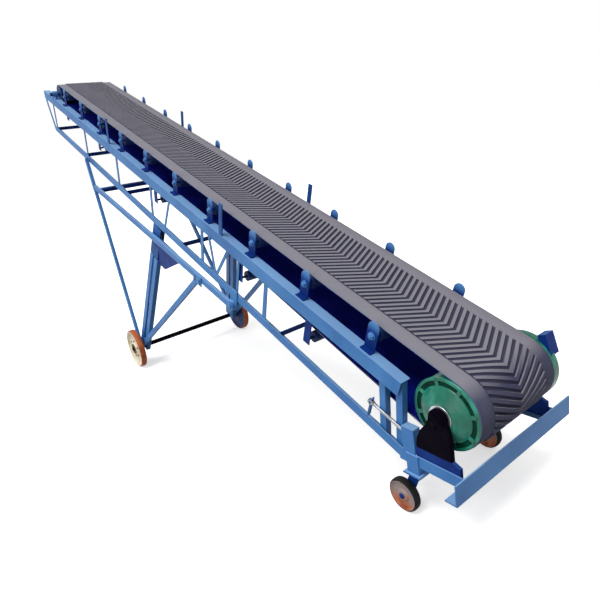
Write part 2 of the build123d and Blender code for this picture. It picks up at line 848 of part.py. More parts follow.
# swivel casters
caster_axle_x = x_shift + caster_x + caster_trail
for name, side in (("left", 1), ("right", -1)):
    y0 = side * caster_y
    with BuildPart() as fork:
        with Locations((x_shift + caster_x + 12, y0 - side * 4, caster_top - 9)):
            Box(112, caster_w + 32, 8)
        with Locations((x_shift + caster_x, y0, caster_top + 4)):
            Cylinder(14, 24)
        arm_y = y0 - side * (caster_w / 2 + 10)
        arm_top = (x_shift + caster_x + 26, caster_top - 12)
        with Locations(lie(arm_top, (caster_axle_x, caster_r), arm_y)):
            Box(gap(arm_top, (caster_axle_x, caster_r)), 8, 62)
        with Locations((arm_top[0], arm_y, caster_top + 15)):
            Box(200, 20, 40, mode=Mode.SUBTRACT)
        with BuildSketch(Plane(origin=(caster_axle_x, arm_y, caster_r), x_dir=(1, 0, 0), z_dir=(0, side, 0))):
            Circle(31)
        extrude(amount=4, both=True)
        with BuildSketch(Plane(origin=(caster_axle_x, arm_y, caster_r), x_dir=(1, 0, 0), z_dir=(0, side, 0))):
            Circle(9)
        extrude(amount=caster_w + 18)
    keep(fork, "caster_fork_" + name)
    hub = Plane(origin=(caster_axle_x, y0 - caster_w / 2, caster_r), x_dir=(1, 0, 0), z_dir=(0, 1, 0))
    with BuildPart() as tread:
        with BuildSketch(hub):
            Circle(caster_r)
            Circle(caster_r * 0.84, mode=Mode.SUBTRACT)
        extrude(amount=caster_w)
    keep(tread, "caster_tyre_" + name)
    with BuildPart() as disc:
        with BuildSketch(hub):
            Circle(caster_r * 0.84)
            Circle(9.4, mode=Mode.SUBTRACT)
        extrude(amount=caster_w)
    keep(disc, "caster_disc_" + name)
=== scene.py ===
import json
import math

import bmesh
import bpy
from mathutils import Matrix, Vector


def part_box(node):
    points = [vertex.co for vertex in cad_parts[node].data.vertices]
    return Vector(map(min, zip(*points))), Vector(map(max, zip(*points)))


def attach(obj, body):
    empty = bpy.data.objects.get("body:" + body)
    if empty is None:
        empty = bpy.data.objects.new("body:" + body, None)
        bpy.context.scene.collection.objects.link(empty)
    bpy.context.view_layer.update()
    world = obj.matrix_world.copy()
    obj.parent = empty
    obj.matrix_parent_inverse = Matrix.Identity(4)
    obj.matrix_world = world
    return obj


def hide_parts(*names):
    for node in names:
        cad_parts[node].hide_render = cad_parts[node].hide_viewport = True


# Mobile belt conveyor for grain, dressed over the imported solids. Metres, same frame as the solids.
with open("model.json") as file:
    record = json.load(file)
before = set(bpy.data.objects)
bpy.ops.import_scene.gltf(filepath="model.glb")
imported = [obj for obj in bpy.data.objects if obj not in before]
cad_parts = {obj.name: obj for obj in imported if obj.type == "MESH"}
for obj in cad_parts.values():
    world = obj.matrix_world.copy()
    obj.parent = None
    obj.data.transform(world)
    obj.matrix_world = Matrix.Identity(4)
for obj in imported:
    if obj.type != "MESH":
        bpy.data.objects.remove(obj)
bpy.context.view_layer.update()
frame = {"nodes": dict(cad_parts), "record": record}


def centre_of(node):
    """Middle of a solid's box."""
    lo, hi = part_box(node)
    return (Vector(lo) + Vector(hi)) / 2


def outer_y(node):
    """How far a solid reaches across the machine from its middle line."""
    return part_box(node)[1][1]


def wheel_size(node):
    """Half width and radius of a wheel's solid."""
    lo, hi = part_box(node)
    return (hi[1] - lo[1]) / 2, (hi[2] - lo[2]) / 2


# directions and places of the truss: u runs up along the belt, y across it, w square to it
INCLINE = math.radians(22.8)
ALONG = Vector((math.cos(INCLINE), 0, math.sin(INCLINE)))
SQUARE = Vector((-math.sin(INCLINE), 0, math.cos(INCLINE)))
ACROSS = Vector((0, 1, 0))
BOTH = (-1, 1)
NAMED_SIDES = (("left", 1), ("right", -1))
DRUM = centre_of("tail_drum")
TAIL_R = 0.204


def truss(u, y, w):
    """World place of a truss place; w is nought on top of the belt's ribs."""
    return Vector((DRUM.x, y, DRUM.z)) + ALONG * u + SQUARE * (w + TAIL_R)


# belt loop over its ribs
HEAD_R = 0.115
HEAD_U = 6.167
BELT_HALF = outer_y("belt_carry_run")
BELT_T = 0.016
EDGE_IN = 0.003
EDGE_DROP = 0.002

# chevron ribs, at the pitch that the photograph shows
RIB_H = 0.008
RIB_PITCH = 0.0423
RIB_WIDE = 0.0265
RIB_BEVEL = 0.003
RIB_ROOT = -0.0005
RIB_HALF = 0.225
RIB_SWEEP = 0.112
RIB_STEPS = 14

# idlers along the chords
IDLERS = 10
IDLER_U0 = 0.519
IDLER_PITCH = 0.584
IDLER_W = -0.0604
BRACKET_OUT = 0.371

# head bearings on the chords
CHORD_TOP = -0.155
BEARING_Y = 0.3805
BEARING_FOOT = 0.018
BEARING_BOLT_U = 0.064

# take-up screws beside the motor drum
SCREW_START = 0.162
SCREW_END = 0.412
SCREW_LEAD = 0.005
SCREW_Y = 0.406
SCREW_W = -0.431
SCREW_ROOT_R = 0.0088
SCREW_CREST_R = 0.0103
PLATE_U = 0.395
PLATE_HALF = 0.004

# pins that the wheel frame hangs on
PIVOT = truss(1.832, 0, -0.646)

# fasteners: width over the flats and height of the head
RIM_BOLT = (0.008, 0.004)
CARRIER_BOLT = (0.010, 0.006)
DISH_BOLT = (0.014, 0.006)
PLATE_BOLT = (0.018, 0.008)
BEARING_BOLT = (0.020, 0.010)
CASTER_NUT = (0.024, 0.007)
AXLE_NUT = (0.030, 0.007)
IDLER_NUT = (0.034, 0.016)
WASHER_T = 0.002
WASHER_STEPS = 20
HEX_SIDES = 6
THREAD_STUB = 0.005
THREAD_STEPS = 12


# materials: how far grain changes the gloss, its relief, the tones' places, and the tilt from which faces get
# dust and painted top light
MM_PER_M = 1000
GLOSSIER = 0.07
DULLER = 0.09
GRAIN_STRENGTH = 0.35
TONE_STOPS = (0.28, 0.5, 0.74)
DUST_AND_LIGHT_FROM = 0.55
DISC_SPOT_MM = 45


def linear(hexcode):
    """sRGB hex to linear RGBA."""
    out = []
    for k in (1, 3, 5):
        c = int(hexcode[k:k + 2], 16) / 255
        out.append(c / 12.92 if c <= 0.04045 else ((c + 0.055) / 1.055) ** 2.4)
    return (*out, 1.0)


def add(tree, kind, links=(), **settings):
    """Adds a node; settings name attributes or in_ sockets, links are (socket, from node, from socket)."""
    made = tree.nodes.new(kind)
    for key, value in settings.items():
        if key.startswith("in_"):
            made.inputs[key[3:].replace("_", " ")].default_value = value
        else:
            setattr(made, key, value)
    for socket, source, output in links:
        tree.links.new(source.outputs[output], made.inputs[socket])
    return made


def ramp_stops(ramp, stops):
    """Sets a colour ramp's stops from (place, sRGB hex) pairs."""
    points = ramp.color_ramp.elements
    while len(points) < len(stops):
        points.new(0.5)
    for point, (place, colour) in zip(points, stops):
        point.position = place
        point.color = linear(colour)


def coat(name, grain_mm, lift_mm, rough, metallic=0.0, clear=0.0, shine=0.5):
    """A material with its gloss and grain, still without its tones.

    Peel, grit and weave are finer than the render shows, so grain_mm is drawn coarser than life.
    """
    made = bpy.data.materials.new(name)
    made.use_nodes = True
    tree = made.node_tree
    shader = tree.nodes["Principled BSDF"]
    shader.inputs["Metallic"].default_value = metallic
    shader.inputs["Coat Weight"].default_value = clear
    shader.inputs["Specular IOR Level"].default_value = shine
    place = add(tree, "ShaderNodeTexCoord")
    grain = add(tree, "ShaderNodeTexNoise", [("Vector", place, "Object")],
                in_Scale=MM_PER_M / grain_mm, in_Detail=3.0)
    gloss = add(tree, "ShaderNodeMapRange", [("Value", grain, "Fac")],
                in_To_Min=rough - GLOSSIER, in_To_Max=rough + DULLER)
    relief = add(tree, "ShaderNodeBump", [("Height", grain, "Fac")],
                 in_Strength=GRAIN_STRENGTH, in_Distance=lift_mm / MM_PER_M)
    tree.links.new(gloss.outputs["Result"], shader.inputs["Roughness"])
    tree.links.new(relief.outputs["Normal"], shader.inputs["Normal"])
    return made


def mottled(made, tones, patch_mm, dust_and_top_light=None):
    """Gives a coat three slowly mixed tones, and a paler colour (colour, share) on the faces that look up,
    which is dust and painted top light.
    """
    tree = made.node_tree
    place = add(tree, "ShaderNodeTexCoord")
    patch = add(tree, "ShaderNodeTexNoise", [("Vector", place, "Object")],
                in_Scale=MM_PER_M / patch_mm, in_Detail=4.0)
    tone = add(tree, "ShaderNodeValToRGB", [("Fac", patch, "Fac")])
    ramp_stops(tone, tuple(zip(TONE_STOPS, tones)))
    colour = tone.outputs["Color"]
    if dust_and_top_light:
        # paler colour on the faces that look up: dust, and painted light on top faces
        dust_and_light_colour, dust_and_light_share = dust_and_top_light
        facing = add(tree, "ShaderNodeNewGeometry")
        split = add(tree, "ShaderNodeSeparateXYZ", [("Vector", facing, "Normal")])
        dust_and_light_mask = add(tree, "ShaderNodeMapRange", [("Value", split, "Z")],
                     in_From_Min=DUST_AND_LIGHT_FROM, in_From_Max=1.0, in_To_Max=dust_and_light_share)
        dusted_and_lit = add(tree, "ShaderNodeMix", [("Factor", dust_and_light_mask, "Result"), ("A", tone, "Color")],
                     data_type="RGBA", in_B=linear(dust_and_light_colour))
        colour = dusted_and_lit.outputs["Result"]
    tree.links.new(colour, tree.nodes["Principled BSDF"].inputs["Base Color"])
    return made


# blue machine enamel sprayed on rolled steel: satin, slightly mottled, paler on top from dust and painted top
# light
BLUE_ENAMEL = mottled(
    coat("blue_enamel_on_rolled_steel", grain_mm=9, lift_mm=0.5, rough=0.48, shine=0.22),
    ("#366aa8", "#4079b7", "#4f88c3"), patch_mm=340, dust_and_top_light=("#93b4d6", 0.55))
# the same enamel, made deeper on the upright holders and lifting heads as painted shade: satin
SHADED_BLUE_ENAMEL = mottled(
    coat("blue_enamel_with_painted_shade", grain_mm=7, lift_mm=0.5, rough=0.5, shine=0.15),
    ("#12407f", "#1b4d8f", "#285da0"), patch_mm=130, dust_and_top_light=("#5f8cc8", 0.4))
# navy enamel on ties, feet and gussets: dark and dull, as painted shade
SHADED_NAVY_ENAMEL = mottled(
    coat("navy_enamel_with_painted_shade", grain_mm=7, lift_mm=0.5, rough=0.52, shine=0.1),
    ("#052468", "#09307a", "#12408c"), patch_mm=110, dust_and_top_light=("#3f6cb2", 0.35))
# dark blue enamel on drawn tube, worn and greasy: nearly black in the shade; on the road wheels' dish backs
# its dark blue is painted shade
DARK_ENAMEL = mottled(
    coat("dark_blue_enamel_on_tube", grain_mm=7, lift_mm=0.5, rough=0.5, shine=0.2),
    ("#12244f", "#1a3266", "#26457f"), patch_mm=160)
# moulded black rubber with carbon: dull, and greyed on top by dust and painted top light
BELT_RUBBER = mottled(
    coat("moulded_belt_rubber", grain_mm=4, lift_mm=0.4, rough=0.78, shine=0.08),
    ("#40415a", "#494a60", "#555668"), patch_mm=220, dust_and_top_light=("#8f8d93", 0.85))
# the belt's moulded bed between its ribs: darker, as painted shade in the grooves
BELT_BED_SHADE = mottled(
    coat("belt_bed_rubber_painted_shade", grain_mm=4, lift_mm=0.4, rough=0.85, shine=0.04),
    ("#28283a", "#323246", "#3e3e50"), patch_mm=180, dust_and_top_light=("#4c4b5a", 0.5))
# the belt's pulley side, woven cotton rubbed with rubber and without shine; its dark navy is painted shade
BELT_BACK_SHADE = mottled(
    coat("belt_fabric_back_painted_shade", grain_mm=3, lift_mm=0.6, rough=0.9, shine=0.03),
    ("#0a1060", "#0d1474", "#131c86"), patch_mm=150)
# the belt's cut edges: a paler bluish line, a painted highlight along them
BELT_EDGE_HIGHLIGHT = mottled(
    coat("cut_belt_edge_painted_highlight", grain_mm=3, lift_mm=0.4, rough=0.8, shine=0.1),
    ("#5b6f9c", "#6a80ae", "#7b91bd"), patch_mm=60)
# green enamel on turned steel and smooth castings: glossy, with light and dark patches laid at random, which
# are painted highlights and painted shade
GREEN_ENAMEL = mottled(
    coat("green_enamel_on_castings", grain_mm=6, lift_mm=0.4, rough=0.3, clear=0.06, shine=0.3),
    ("#064438", "#126c57", "#36a088"), patch_mm=120)
# the covers' sunk ring, cast and thinly coated: a very dark green, painted shade in the sunk ring
GREEN_SUNK_SHADE = mottled(
    coat("green_enamel_painted_shade", grain_mm=5, lift_mm=0.5, rough=0.5, shine=0.06),
    ("#00261d", "#04382b", "#0a4a39"), patch_mm=60)
# black enamel on sand cast iron: rough, and almost without shine
BLACK_ENAMEL = mottled(
    coat("black_enamel_on_iron", grain_mm=9, lift_mm=2.0, rough=0.66, shine=0.02),
    ("#030108", "#06030d", "#0d0815"), patch_mm=90)
# bare steel with a rolled thread: grey and dull bright
BARE_STEEL = mottled(
    coat("rolled_bare_steel", grain_mm=3, lift_mm=0.3, rough=0.36, metallic=1.0),
    ("#7d8187", "#94989e", "#aeb2b7"), patch_mm=60)
# zinc plated steel: pale and satin
ZINC_PLATE = mottled(
    coat("zinc_plated_bolts", grain_mm=2, lift_mm=0.2, rough=0.38, metallic=1.0),
    ("#8e9298", "#a5a9ae", "#bdc0c3"), patch_mm=30)
# cream enamel sprayed on a pressed wheel disc: pale, with brownish handling dirt
CREAM_ENAMEL = mottled(
    coat("cream_enamel_on_pressed_disc", grain_mm=5, lift_mm=0.4, rough=0.45, shine=0.3),
    ("#bfae87", "#dcd0b2", "#ebe4cf"), patch_mm=75)
# bare cast iron of the wheel hubs and their nuts: browned by rust and grease, and darkened as painted shade
# in the hubs' recesses
HUB_IRON = mottled(
    coat("rusty_and_shaded_hub_iron", grain_mm=4, lift_mm=0.8, rough=0.6, shine=0.15),
    ("#3a281a", "#513a27", "#6a4e37"), patch_mm=40)
# solid cast polyurethane tread: orange-red and satin
RED_TREAD = mottled(
    coat("orange_red_solid_tread", grain_mm=4, lift_mm=0.5, rough=0.55, shine=0.25),
    ("#90461f", "#b05a30", "#c87648"), patch_mm=70)
# solid moulded black rubber of the caster tyres: dull and dark grey
BLACK_RUBBER = mottled(
    coat("solid_black_rubber", grain_mm=3, lift_mm=0.4, rough=0.72, shine=0.1),
    ("#141416", "#1d1d20", "#2a2a2d"), patch_mm=50)


def disc_orange_below(low_z, high_z):
    """Grey-brown enamel on a cast iron disc, orange-brown towards the bottom, in spots."""
    made = coat("enamel_on_cast_disc_orange_below", grain_mm=4, lift_mm=0.6, rough=0.55, shine=0.25)
    tree = made.node_tree
    place = add(tree, "ShaderNodeTexCoord")
    split = add(tree, "ShaderNodeSeparateXYZ", [("Vector", place, "Object")])
    spots = add(tree, "ShaderNodeTexNoise", [("Vector", place, "Object")],
                in_Scale=MM_PER_M / DISC_SPOT_MM, in_Detail=5.0)
    rise = add(tree, "ShaderNodeMapRange", [("Value", split, "Z")], in_From_Min=low_z, in_From_Max=high_z)
    edge = add(tree, "ShaderNodeMath", [(0, spots, "Fac"), (1, rise, "Result")], operation="ADD")
    tone = add(tree, "ShaderNodeValToRGB", [("Fac", edge, "Value")])
    ramp_stops(tone, ((0.5, "#84402a"), (0.72, "#a9623f"), (0.9, "#9b7a6f"), (1.0, "#938380")))
    tree.links.new(tone.outputs["Color"], tree.nodes["Principled BSDF"].inputs["Base Color"])
    return made


def brackets_shade_to_highlight(shade_w, highlight_w):
    """Navy enamel on pressed steel brackets: painted shade low down, turning to a painted highlight towards
    the tips beside the belt.
    """
    made = coat("bracket_enamel_painted_shade_and_highlight", grain_mm=7, lift_mm=0.5, rough=0.52, shine=0.1)
    tree = made.node_tree
    bed = truss(0, 0, 0).dot(SQUARE)
    place = add(tree, "ShaderNodeTexCoord")
    height = add(tree, "ShaderNodeVectorMath", [(0, place, "Object")], operation="DOT_PRODUCT")
    height.inputs[1].default_value = SQUARE
    rise = add(tree, "ShaderNodeMapRange", [("Value", height, "Value")],
               in_From_Min=bed + shade_w, in_From_Max=bed + highlight_w)
    tone = add(tree, "ShaderNodeValToRGB", [("Fac", rise, "Result")])
    # navy of painted shade below, pale blue of a painted highlight at the tips
    ramp_stops(tone, ((0.0, "#062a72"), (0.35, "#0f3b86"), (1.0, "#5a8fca")))
    tree.links.new(tone.outputs["Color"], tree.nodes["Principled BSDF"].inputs["Base Color"])
    return made


DISC_ORANGE_BELOW = disc_orange_below(low_z=0.0, high_z=0.22)
# brackets: painted shade low down and a painted highlight at the tips
BRACKET_SHADE_AND_HIGHLIGHT = brackets_shade_to_highlight(shade_w=-0.060, highlight_w=0.022)

SLOT_FINISH = {
    "frame_blue": BLUE_ENAMEL,
    "belt_rubber": BELT_RUBBER,
    "drum_green": GREEN_ENAMEL,
    "carrier_black": BLACK_ENAMEL,
    "bright_steel": BARE_STEEL,
    "roller_steel": DARK_ENAMEL,
    "bearing_blue": BLUE_ENAMEL,
    "axle_black": BLACK_ENAMEL,
    "road_tread": RED_TREAD,
    "rim_cream": CREAM_ENAMEL,
    "caster_rubber": BLACK_RUBBER,
    "caster_disc": DISC_ORANGE_BELOW,
}
# solids whose names start so have a coat of their own, each with painted shade: deeper blue, navy, and navy
# brackets paler at their tips as a painted highlight
SHADED_BLUE_NODES = ("guard_posts", "lift_head")
SHADED_NAVY_NODES = ("terminal_box", "return_hangers", "cross_ties", "frame_tie", "frame_gussets", "carrier_feet",
              "caster_fork")
BRACKET_SHADE_NODES = ("idler_brackets",)
OWN_FINISH = ((SHADED_BLUE_NODES, SHADED_BLUE_ENAMEL), (SHADED_NAVY_NODES, SHADED_NAVY_ENAMEL), (BRACKET_SHADE_NODES, BRACKET_SHADE_AND_HIGHLIGHT))
# edges are softened as those of rolled, cut and cast metal are
SOFT_EDGE = {"frame_blue": 0.0022, "bearing_blue": 0.004, "carrier_black": 0.006}
SOFT_FROM = math.radians(40)


def dress(solid, node, slot):
    """Gives a solid its finish and its soft edges."""
    finish = SLOT_FINISH[slot]
    for starts, own in OWN_FINISH:
        if node.startswith(starts):
            finish = own
    solid.data.materials.clear()
    solid.data.materials.append(finish)
    if slot in SOFT_EDGE:
        edge = solid.modifiers.new("softened_edges", "BEVEL")
        edge.width = SOFT_EDGE[slot]
        edge.segments = 2
        edge.limit_method = "ANGLE"
        edge.angle_limit = SOFT_FROM
        edge.use_clamp_overlap = True


for entry in frame["record"]["subparts"]:
    dress(frame["nodes"][entry["node"]], entry["node"], entry["material_slot"])


# shapes that the pieces are made from

def piece(name, mesh, body, finishes, smooth=35):
    """Turns a bmesh into an object that rides on a body; its edges over smooth degrees are sharp."""
    data = bpy.data.meshes.new(name)
    bmesh.ops.recalc_face_normals(mesh, faces=mesh.faces)
    mesh.to_mesh(data)
    mesh.free()
    made = bpy.data.objects.new(name, data)
    bpy.context.scene.collection.objects.link(made)
    for finish in finishes:
        data.materials.append(finish)
    for face in data.polygons:
        face.use_smooth = True
    data.set_sharp_from_angle(angle=math.radians(smooth))
    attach(made, body)
    return made


def spokes(axis, count, shift=0.0):
    """Evenly spread directions square to an axis; shift is a share of the step between them."""
    axis = axis.normalized()
    right = axis.orthogonal().normalized()
    up = axis.cross(right)
    turns = [2 * math.pi * (k + shift) / count for k in range(count)]
    return [right * math.cos(turn) + up * math.sin(turn) for turn in turns]


def wall(mesh, near, far):
    """Faces between two closed rings of points, one of which may be a single point."""
    faces = []
    steps = max(len(near), len(far))
    for k in range(steps):
        n = (k + 1) % steps
        if len(near) == 1:
            corners = (near[0], far[k], far[n])
        elif len(far) == 1:
            corners = (near[k], near[n], far[0])
        else:
            corners = (near[k], near[n], far[n], far[k])
        faces.append(mesh.faces.new(corners))
    return faces


def turned(mesh, centre, axis, profile, steps, ring=False):
    """A turned shape: profile rows are (distance along the axis, radius); a ring has no middle."""
    axis = axis.normalized()
    rings = []
    for reach, radius in profile:
        middle = centre + axis * reach
        if radius > 0:
            rings.append([mesh.verts.new(middle + spoke * radius) for spoke in spokes(axis, steps)])
        else:
            rings.append([mesh.verts.new(middle)])
    faces = []
    for near, far in zip(rings, rings[1:] + rings[:1] if ring else rings[1:]):
        faces += wall(mesh, near, far)
    for end in () if ring else (rings[0], rings[-1]):
        if len(end) > 1:
            faces.append(mesh.faces.new(end))
    return faces


def scaled(shares, half, radius):
    """A wheel's profile from shares of its half width and radius."""
    return [(half * reach, radius * high) for reach, high in shares]


def block(mesh, centre, edges):
    """A block round its centre, from the vectors of its three edges."""
    first, second, third = (edge / 2 for edge in edges)
    rounds = ((-1, -1), (1, -1), (1, 1), (-1, 1))
    low = [mesh.verts.new(centre - third + first * a + second * b) for a, b in rounds]
    high = [mesh.verts.new(centre + third + first * a + second * b) for a, b in rounds]
    wall(mesh, low, high)
    mesh.faces.new(low)
    mesh.faces.new(high)


def hex_bolt(mesh, seat, axis, size):
    """A washer, a chamfered hexagon head and a stub of thread, standing on seat."""
    across, tall = size
    washer_r = across * 0.72
    corner_r = across * 0.57
    top_r = across * 0.5
    chamfer_at = tall * 0.85
    thread_r = across * 0.27
    tip_r = across * 0.25
    turned(mesh, seat, axis, ((0, washer_r), (WASHER_T, washer_r)), WASHER_STEPS)
    turned(mesh, seat, axis, ((WASHER_T, corner_r), (chamfer_at, corner_r), (tall, top_r)), HEX_SIDES)
    turned(mesh, seat, axis, ((tall, thread_r), (tall + THREAD_STUB, tip_r)), THREAD_STEPS)


# belt: a flat carcass with moulded chevron ribs all round the loop
TILT = math.atan2(TAIL_R - HEAD_R, HEAD_U)
HEAD_BED = HEAD_R - RIB_H
TAIL_BED = TAIL_R - RIB_H
HEAD_TURN = math.pi - 2 * TILT
HEAD_ARC = HEAD_BED * HEAD_TURN
TAIL_ARC = TAIL_BED * (math.pi + 2 * TILT)
RUN = math.hypot(HEAD_U, TAIL_R - HEAD_R) * math.cos(TILT)
LOOP = 2 * RUN + HEAD_ARC + TAIL_ARC
# start, length and cuts of the carrying run, head wrap, return run and tail wrap
STRETCHES = (
    (0, RUN, 24),
    (RUN, HEAD_ARC, 24),
    (RUN + HEAD_ARC, RUN, 24),
    (2 * RUN + HEAD_ARC, TAIL_ARC, 40),
)


def on_belt(s, y, lift):
    """World place at a length s round the loop, y across it and lift above its bed."""
    s = s % LOOP
    head_start, return_start, tail_start = (start for start, length, cuts in STRETCHES[1:])
    if s < head_start:
        return truss(s, y, lift - RIB_H)
    head = HEAD_BED + lift
    if s < return_start:
        turn = math.pi / 2 - (s - head_start) / HEAD_BED
        return truss(HEAD_U + head * math.cos(turn), y, head * math.sin(turn) - HEAD_R)
    turn = math.pi / 2 - HEAD_TURN
    if s < tail_start:
        back = s - return_start
        u = HEAD_U + head * math.cos(turn) - back * math.cos(2 * TILT)
        w = head * math.sin(turn) - HEAD_R - back * math.sin(2 * TILT)
        return truss(u, y, w)
    turn -= (s - tail_start) / TAIL_BED
    tail = TAIL_BED + lift
    return truss(tail * math.cos(turn), y, tail * math.sin(turn) - TAIL_R)


def carcass(mesh):
    """The belt's flat band with eased edges; its bed and back have finishes with painted shade, its cut edges
    one with a painted highlight.
    """
    flat = BELT_HALF - EDGE_IN
    back = RIB_H - BELT_T
    low = back + EDGE_DROP
    band = ((-BELT_HALF, low), (-BELT_HALF, -EDGE_DROP), (-flat, 0), (-RIB_HALF, 0), (0, 0), (RIB_HALF, 0),
            (flat, 0), (BELT_HALF, -EDGE_DROP), (BELT_HALF, low), (flat, back), (-flat, back))
    # places in the list of finishes, by the band's stretches counted from its first corner
    bed_shade_finish, back_shade_finish, edge_highlight_finish = 1, 2, 3
    finishes = {3: bed_shade_finish, 4: bed_shade_finish, 9: back_shade_finish, 0: edge_highlight_finish, 7: edge_highlight_finish}
    stations = [start + length * k / cuts for start, length, cuts in STRETCHES for k in range(cuts)]
    rows = [[mesh.verts.new(on_belt(s, y, h)) for y, h in band] for s in stations]
    for row, after in zip(rows, rows[1:] + rows[:1]):
        for n, face in enumerate(wall(mesh, row, after)):
            face.material_index = finishes.get(n, 0)


def rib(mesh, start):
    """One chevron rib, its apex at start and its arms swept up along the belt."""
    half = RIB_WIDE / 2
    top = half - RIB_BEVEL
    section = ((-half, RIB_ROOT), (-top, RIB_H), (top, RIB_H), (half, RIB_ROOT))
    strips = []
    for n in range(RIB_STEPS + 1):
        y = RIB_HALF * (2 * n / RIB_STEPS - 1)
        s = start + RIB_SWEEP * abs(y) / RIB_HALF
        strips.append([mesh.verts.new(on_belt(s + ds, y, h)) for ds, h in section])
    for a, b in zip(strips, strips[1:]):
        for n in range(len(section) - 1):
            mesh.faces.new((a[n], a[n + 1], b[n + 1], b[n]))
    mesh.faces.new(strips[0])
    mesh.faces.new(strips[-1])


def chevron_belt():
    """The whole loop in one piece."""
    mesh = bmesh.new()
    carcass(mesh)
    count = round(LOOP / RIB_PITCH)
    for k in range(count):
        rib(mesh, LOOP * k / count)
    belt = piece("chevron_belt", mesh, "truss", (BELT_RUBBER, BELT_BED_SHADE, BELT_BACK_SHADE, BELT_EDGE_HIGHLIGHT))
    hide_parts("belt_carry_run", "belt_return_run", "belt_head_wrap", "belt_tail_wrap")


chevron_belt()

# motor drum end covers: lip, sunk ring under the rim, domed cone and hub ring, as (reach, radius) rows
COVER_Y = outer_y("tail_drum")
COVER_STEPS = 96
SUNK_ROWS = (5, 8)
# measured from the rim's face, the rest from the drum's end
COVER_RING = ((0, 0.179), (-0.002, 0.176), (-0.008, 0.174), (-0.008, 0.154), (-0.004, 0.151))
COVER_HUB = ((0.056, 0.080), (0.056, 0.062), (0.054, 0.058), (0.050, 0.056), (0.050, 0.036))
NEAR_RIM = 0.014
NEAR_LIP = ((0, 0.192), (0.009, 0.194), (0.0125, 0.192), (NEAR_RIM, 0.188))
NEAR_CONE = ((0.014, 0.149), (0.019, 0.142), (0.024, 0.132), (0.036, 0.110), (0.047, 0.092), (0.053, 0.086))
# the terminal box's side has a deeper rim
FAR_RIM = 0.050
FAR_LIP = ((0, 0.192), (0.036, 0.196), (0.046, 0.195), (FAR_RIM, 0.190))
FAR_CONE = ((0.047, 0.149), (0.048, 0.142), (0.049, 0.132), (0.050, 0.110), (0.052, 0.092), (0.054, 0.086))
COVERS = ((-1, FAR_RIM, FAR_LIP, FAR_CONE), (1, NEAR_RIM, NEAR_LIP, NEAR_CONE))
LUGS = 8
LUG_SHIFT = 0.3
LUG_R = 0.164
LUG_DEEP = 0.006
LUG_SIZE = (0.026, 0.010, 0.020)
RIM_BOLT_R = 0.1835
BOLT_SUNK = 0.001


def motor_drum_covers():
    """Both covers, with a lug across the sunk ring and a rim bolt at each of eight places."""
    mesh = bmesh.new()
    first, last = (row * COVER_STEPS for row in SUNK_ROWS)
    for side, rim, lip, cone in COVERS:
        outward = ACROSS * side
        seat = Vector((DRUM.x, side * COVER_Y, DRUM.z))
        ring = tuple((rim + reach, radius) for reach, radius in COVER_RING)
        faces = turned(mesh, seat, outward, lip + ring + cone + COVER_HUB, COVER_STEPS)
        # the sunk ring takes the very dark green of painted shade
        for face in faces[first:last]:
            face.material_index = 1
        for spoke in spokes(outward, LUGS, LUG_SHIFT):
            hex_bolt(mesh, seat + spoke * RIM_BOLT_R + outward * (rim - BOLT_SUNK), outward, RIM_BOLT)
            ways = (spoke, outward, spoke.cross(outward))
            edges = [way * size for way, size in zip(ways, LUG_SIZE)]
            block(mesh, seat + spoke * LUG_R + outward * (rim - LUG_DEEP), edges)
    covers = piece("motor_drum_covers", mesh, "truss", (GREEN_ENAMEL, GREEN_SUNK_SHADE), smooth=30)
    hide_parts("drum_caps")


motor_drum_covers()

# bright seal rings round the drum's stub shafts
SEAL_STEPS = 64
SEAL_Y = COVER_Y + COVER_HUB[-1][0]
SEAL = ((0, 0.038), (0, 0.066), (0.004, 0.068), (0.008, 0.065), (0.008, 0.038))
mesh = bmesh.new()
for side in BOTH:
    turned(mesh, Vector((DRUM.x, side * SEAL_Y, DRUM.z)), ACROSS * side, SEAL, SEAL_STEPS, ring=True)
piece("drum_seal_rings", mesh, "truss", (ZINC_PLATE,), smooth=30)

# road wheels: pressed dish with a rolled lip and hub, and a solid tread with rounded shoulders;
# profiles and bolt places are shares of the wheel's half width and radius
ROAD_STEPS = 64
TREAD_IN = ((-1, 0.90), (-1, 0.965), (-0.88, 0.99), (-0.6, 1))
TREAD_OUT = ((0.6, 1), (0.86, 0.99), (0.96, 0.965), (0.96, 0.90))
DISH_FACE = ((1.04, 0.955), (1.04, 0.90), (0.75, 0.85), (0.45, 0.80), (0.35, 0.52), (0.72, 0.34))
DISH_HUB = ((0.95, 0.28), (1.15, 0.26), (1.15, 0.13))
DISH_BACK = ((-1.1, 0.13), (-1.1, 0.28), (-0.6, 0.40), (-0.6, 0.80), (-1.04, 0.86), (-1.04, 0.93))
DISH_SEAT = ((-0.9, 0.90), (0.9, 0.92))
HUB_ROWS = (6, 9)
SHADE_BACK_ROWS = (9, 15)
DISH_BOLTS = 6
DISH_BOLT_R = 0.44
DISH_BOLT_SEAT = 0.52
AXLE_NUT_IN = 0.012


def road_tread(name, wheel, out, half, radius):
    """A solid tread in place of a road wheel's tyre."""
    mesh = bmesh.new()
    turned(mesh, wheel, out, scaled(TREAD_IN + TREAD_OUT, half, radius), ROAD_STEPS, ring=True)
    tread = piece("road_tread_" + name, mesh, "road_wheel_" + name, (RED_TREAD,), smooth=40)
    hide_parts("road_tyre_" + name)


